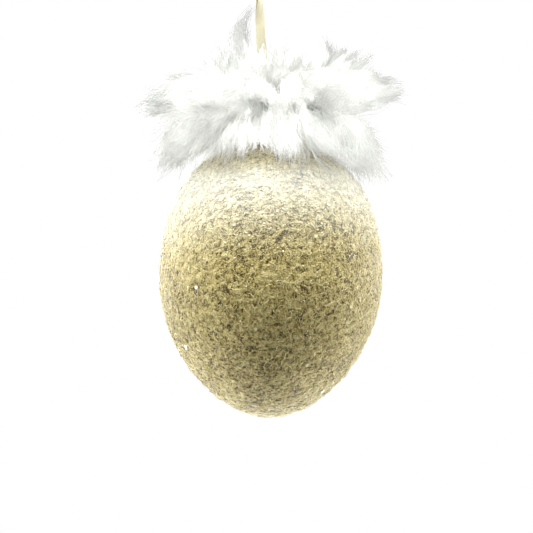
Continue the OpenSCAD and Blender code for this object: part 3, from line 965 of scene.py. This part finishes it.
def clear_of_ball(points):
    """Pushes down that would be in the coat out to lie on it, and keeps the well round the cap open."""
    r = np.maximum(np.hypot(points[..., 0], points[..., 1]), 1e-6)
    z = points[..., 2]
    angle = np.arcsin(np.clip(z / BALL_RISE, 0, 1))
    skin = BALL_R * np.cos(angle) * (1 + SHOULDER_FULLNESS * np.sin(angle) ** 2) + DOWN_LIFT
    want = np.where(z < BALL_RISE, np.maximum(r, skin), r)
    scale = np.maximum(want, WELL_R) / r
    return np.stack([points[..., 0] * scale, points[..., 1] * scale, z], axis=-1)


def plume_lines(rng, s, turn, span, root, crest, belly, tip, extra, wisp, painted_shade_depth, loose):
    """The barbs of one plume, in the ball's frame, grown in locks that draw to soft points."""
    locks, barbs = ((s.locks, s.barbs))
    steps = 6
    t = np.linspace(0, 1, steps)
    lines, tip_shades = [], []

    def place(rz, angle):
        return np.array([rz[0] * math.cos(angle), rz[0] * math.sin(angle), rz[1]])

    jobs = []
    for _ in range(locks):
        angle = turn + (rng.random() - 0.5) * span * 1.12
        over = rng.random()
        reach = 1 - 0.62 * rng.random() ** 1.9
        high, low = arch(root, crest, tip, [reach])[0], arch(root, belly, tip, [reach])[0]
        end = low * (1 - over) + high * over
        s0 = 0.05 + 0.45 * reach * rng.random()
        start = 0.5 * (arch(root, crest, tip, [s0])[0] + arch(root, belly, tip, [s0])[0])
        grow = (end - start) / max(1e-6, np.linalg.norm(end - start))
        end = end + grow * rng.uniform(0.2, 1.0) * wisp * MM
        jobs.append((place(start, turn + (angle - turn) * 0.9), place(end, angle), 1.0))
    for goal, share in extra:
        start = 0.5 * (arch(root, crest, tip, [0.2])[0] + arch(root, belly, tip, [0.2])[0])
        jobs.append((place(start, turn), np.array(goal), share))
    for start, end, share in jobs:
        count = max(3, int(barbs * share))
        # How deep each lock's painted tip shade is: random, less on plumes that face the viewer, and deepest on the
        # edge locks
        if len(tip_shades) < locks:
            tone = (0.15 + 0.65 * rng.random()) * painted_shade_depth
        else:
            tone = 0.75 + 0.3 * rng.random()
        tip_shades.append(tone + 0.25 * painted_shade_depth * rng.random(count))
        length = np.linalg.norm(end - start)
        middle = 0.5 * (start + end)
        out = middle / max(1e-6, np.linalg.norm(middle[:2]))
        bow = np.array([out[0], out[1], 0.6]) * length * rng.uniform(0.02, 0.2)
        bow = bow + rng.normal(size=3) * length * 0.05
        a = start + rng.normal(size=(count, 3)) * 0.9 * MM
        b = end + rng.normal(size=(count, 3)) * (0.35 + 0.015 * length / MM) * loose * MM
        m = middle + bow + rng.normal(size=(count, 3)) * (1.2 * MM + length * 0.06)
        cut = rng.uniform(0.90 - 0.10 * loose, 1.02 + 0.02 * loose, size=(count, 1, 1))
        u = t[None, :, None] * cut
        points = a[:, None] * (1 - u) ** 2 + 2 * m[:, None] * u * (1 - u) + b[:, None] * u ** 2
        weight = (t ** 1.5)[None, :, None]
        points = points + swirl(points, 1.7, 21 * MM, 1.1 * MM) * weight
        points = points + swirl(points, rng.random() * 6, 7 * MM, 0.35 * MM) * weight
        points[..., 2] -= (t ** 2)[None, :] * 0.035 * length
        lines.append(clear_of_ball(points))
    return np.concatenate(lines), np.concatenate(tip_shades)


class ORNAMENT_OT_plumes(bpy.types.Operator):
    """The collar's sixteen plumes: each a quill with its barbs in soft locks"""
    bl_idname = "ornament.plumes"
    bl_label = "Plumes"

    def execute(self, context):
        s = context.scene.ornament_collar
        finish = down_finish(s.down)
        cord = np.array([CORD_RING, CORD_Z])
        span = math.radians(43)
        back = HUNG.inverted()
        for tier, table, offset, start in (("upper", UPPER_PLUMES, 1.0, 60), ("lower", LOWER_PLUMES, 0.5, 5)):
            away = np.array([math.cos(math.radians(start)), math.sin(math.radians(start))])
            root = cord + away * (CORD_R + 1.35 * MM)
            for i, size in enumerate(table, 1):
                rng = np.random.default_rng(100 * (tier == "lower") + i)
                turn = math.radians(45 * (i - offset))
                tip = np.array([WELL + size[0] * MM, CORD_Z + size[1] * MM])
                if tier == "upper":
                    crest = np.array([WELL, CORD_Z + size[2] * MM])
                    belly = np.array([WELL + 19 * MM, CORD_Z + 9 * MM])
                else:
                    crest = np.array([WELL + 27 * MM, CORD_Z + 30 * MM])
                    belly = np.array([WELL + 13 * MM, CORD_Z + 4 * MM])
                # Plumes that face the viewer get less painted shade at their tips
                painted_shade_depth = 1 - 0.9 * max(0.0, -math.sin(turn))
                wisp, loose = (5.0, 1.0) if tier == "upper" else (3.0, 2.4)
                edge = [(tuple(back @ in_view(u * MM, v * MM, near * MM)), share)
                        for u, v, near, share in EDGE_LOCKS.get((tier, i), ())]
                lines, tip_shades = plume_lines(rng, s, turn, span, root, crest, belly, tip, edge, wisp, painted_shade_depth, loose)
                run = np.linspace(0, 0.8, 12)
                foot = cord + away * (CORD_R + 0.15 * MM)
                r, z = np.vstack([foot, 0.5 * (arch(root, crest, tip, run) + arch(root, belly, tip, run))]).T
                spine = np.stack([r * math.cos(turn), r * math.sin(turn), z], -1)
                hung = np.array(HUNG)
                lines, spine = (points @ hung[:3, :3].T + hung[:3, 3] for points in (lines, spine))
                name = "%s_plume_%d" % (tier, i)
                along = np.linspace(0, 1, lines.shape[1])[None, :]
                # Painted shade on the down: grey that grows along each barb to its tip, and more so high on the
                # collar, where the light falls strongest
                high = np.clip((lines[..., 2] - CENTRE.z - CORD_Z + 8 * MM) / (30 * MM), 0, 2)
                painted_tip_shade = np.clip(tip_shades[:, None] * (0.55 + 0.45 * high) * along ** 1.3, 0, 1)
                # Real down lets much of the light through, so only some of its barbs cast a shade
                shady = rng.random(len(lines)) < s.shady
                tip_d = s.barb_d * 0.45
                down = hair_piece(name + "_down", lines[~shady], s.barb_d, tip_d, finish, painted_tip_shade[~shady])
                down.visible_shadow = False
                body = hair_piece(name + "_body", lines[shady], s.barb_d, tip_d, finish, painted_tip_shade[shady])
                quill = hair_piece(name + "_quill", [spine], 0.8 * MM, 0.15 * MM, finish, np.zeros((1, len(spine))))
                shape = bmesh.new()
                for part in (body, quill):
                    shape.from_mesh(part.data)
                shape.to_mesh(body.data)
                shape.free()
                bpy.data.objects.remove(quill)
                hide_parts(name)
                for part in (down, body):
                    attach(part, "ball")
        return {"FINISHED"}


class ORNAMENT_OT_fittings(bpy.types.Operator):
    """Finishes of the glass, cap, wire, plume cord and glue, whose shapes are the frame's own"""
    bl_idname = "ornament.fittings"
    bl_label = "Fittings"

    def execute(self, context):
        for nodes, finish in (
            (("glass_bowl", "glass_dome", "neck_tube"), clear_finish("blown glass", (236, 240, 238), 0.03)),
            (("crown_cap",), sheet_metal("gold lacquered tin", (176, 136, 62), (228, 192, 112), 0.3)),
            (("hanger_wire",), sheet_metal("spring steel", (142, 142, 146), (206, 206, 208), 0.28)),
            (("plume_cord",), twisted_finish()),
            (("glue_bead",), clear_finish("hot glue", (238, 228, 196), 0.35)),
        ):
            for piece in (frame["nodes"][node] for node in nodes):
                if not piece.material_slots:
                    piece.data.materials.append(finish)
                for place in piece.material_slots:
                    place.material = finish
        return {"FINISHED"}


class ORNAMENT_PT_panel(bpy.types.Panel):
    bl_label = "Glass Ball Ornament"
    bl_idname = "ORNAMENT_PT_panel"
    bl_space_type = "VIEW_3D"
    bl_region_type = "UI"
    bl_category = "Ornament"

    def draw(self, context):
        layout = self.layout
        for title, group in (("Coat", "ornament_coat"), ("Collar", "ornament_collar"),
                             ("Ribbon", "ornament_ribbon"), ("Light", "ornament_light")):
            box = layout.box()
            box.label(text=title)
            settings = getattr(context.scene, group)
            for key in settings.__annotations__:
                box.prop(settings, key)
        for operator in OPERATORS:
            layout.operator(operator.bl_idname)


SETTINGS = (("ornament_coat", CoatSettings), ("ornament_collar", CollarSettings),
            ("ornament_ribbon", RibbonSettings), ("ornament_light", LightSettings))
OPERATORS = (ORNAMENT_OT_stage, ORNAMENT_OT_knot, ORNAMENT_OT_ribbon, ORNAMENT_OT_coat, ORNAMENT_OT_grains,
             ORNAMENT_OT_fibres, ORNAMENT_OT_flakes, ORNAMENT_OT_plumes, ORNAMENT_OT_fittings)


def register():
    for name, group in SETTINGS:
        bpy.utils.register_class(group)
        setattr(bpy.types.Scene, name, bpy.props.PointerProperty(type=group))
    for operator in OPERATORS:
        bpy.utils.register_class(operator)
    bpy.utils.register_class(ORNAMENT_PT_panel)


def unregister():
    bpy.utils.unregister_class(ORNAMENT_PT_panel)
    for operator in reversed(OPERATORS):
        bpy.utils.unregister_class(operator)
    for name, group in reversed(SETTINGS):
        delattr(bpy.types.Scene, name)
        bpy.utils.unregister_class(group)


def main():
    register()
    for operator in OPERATORS:
        section, call = operator.bl_idname.split(".")
        getattr(getattr(bpy.ops, section), call)()


if __name__ == "__main__":
    main()
